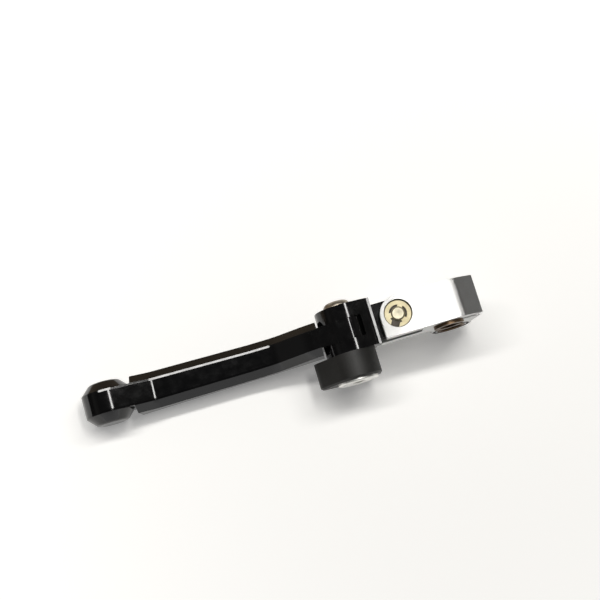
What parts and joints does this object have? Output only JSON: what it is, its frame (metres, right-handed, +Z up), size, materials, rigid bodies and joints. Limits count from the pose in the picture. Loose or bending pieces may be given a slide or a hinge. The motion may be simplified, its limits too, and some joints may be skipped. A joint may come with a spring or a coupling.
{
  "type": "folding clutch lever",
  "caption": "Folding motorcycle clutch lever: black chamfered blade with a round end knob, black hinge knuckle with a spring housing, and a bright metal base.",
  "frame": {"origin": "middle of the perch pivot bore, on its axis", "axes": "+Y along the pivot bore to the bolt-head side, +X along the lever from the end knob to the perch end, +Z up as the lever lies on its back, out of the finger side"},
  "size_m": [0.176, 0.0364, 0.0396],
  "materials": {
    "black_anodised": "gloss black anodised over machined aluminium",
    "bare_aluminium": "polished bare aluminium",
    "black_nylon": "matte moulded glass-filled nylon",
    "bronze": "oil-filled sintered bronze",
    "bright_steel": "turned steel, bright zinc plated",
    "clip_steel": "stamped spring steel, pale nickel plated",
    "plated_steel": "dull plated steel",
    "spring_steel": "oiled spring steel",
    "bearing_plastic": "white bearing plastic",
    "rubber": "black nitrile rubber"
  },
  "bodies": {
    "base": {"base": "bare_aluminium", "pivot_bush": "bronze", "pivot_seals": "rubber", "nipple_bush": "bronze", "swivel_pin": "bright_steel", "swivel_clip": "clip_steel", "swivel_wave_washer": "spring_steel"},
    "knuckle": {"knuckle": "black_anodised", "swivel_bush": "bronze", "swivel_washers": "bearing_plastic", "fold_bolt": "plated_steel", "fold_bolt_washer": "plated_steel", "spring_housing": "black_nylon", "spring_spool": "bright_steel", "return_spring": "spring_steel", "spring_seat_washer": "bearing_plastic", "cover_nut": "bright_steel", "housing_dowel": "bright_steel"},
    "blade": {"blade": "black_anodised", "fold_bush_upper": "bronze", "fold_bush_lower": "bronze"}
  },
  "joints": [
    {"name": "swivel", "type": "hinge", "parent": "base", "child": "knuckle", "pos_m": [-0.02506, 0, 0.0184], "axis": [0.0996, 0, -0.995], "range_deg": [0, 90]},
    {"name": "fold", "type": "hinge", "parent": "knuckle", "child": "blade", "pos_m": [-0.04851, 0, 0.01273], "axis": [0, 1, 0], "range_deg": [0, 90], "stiffness_Nm_per_rad": 0.8, "springref_deg": -25.78, "deforming": ["return_spring"]}
  ]
}
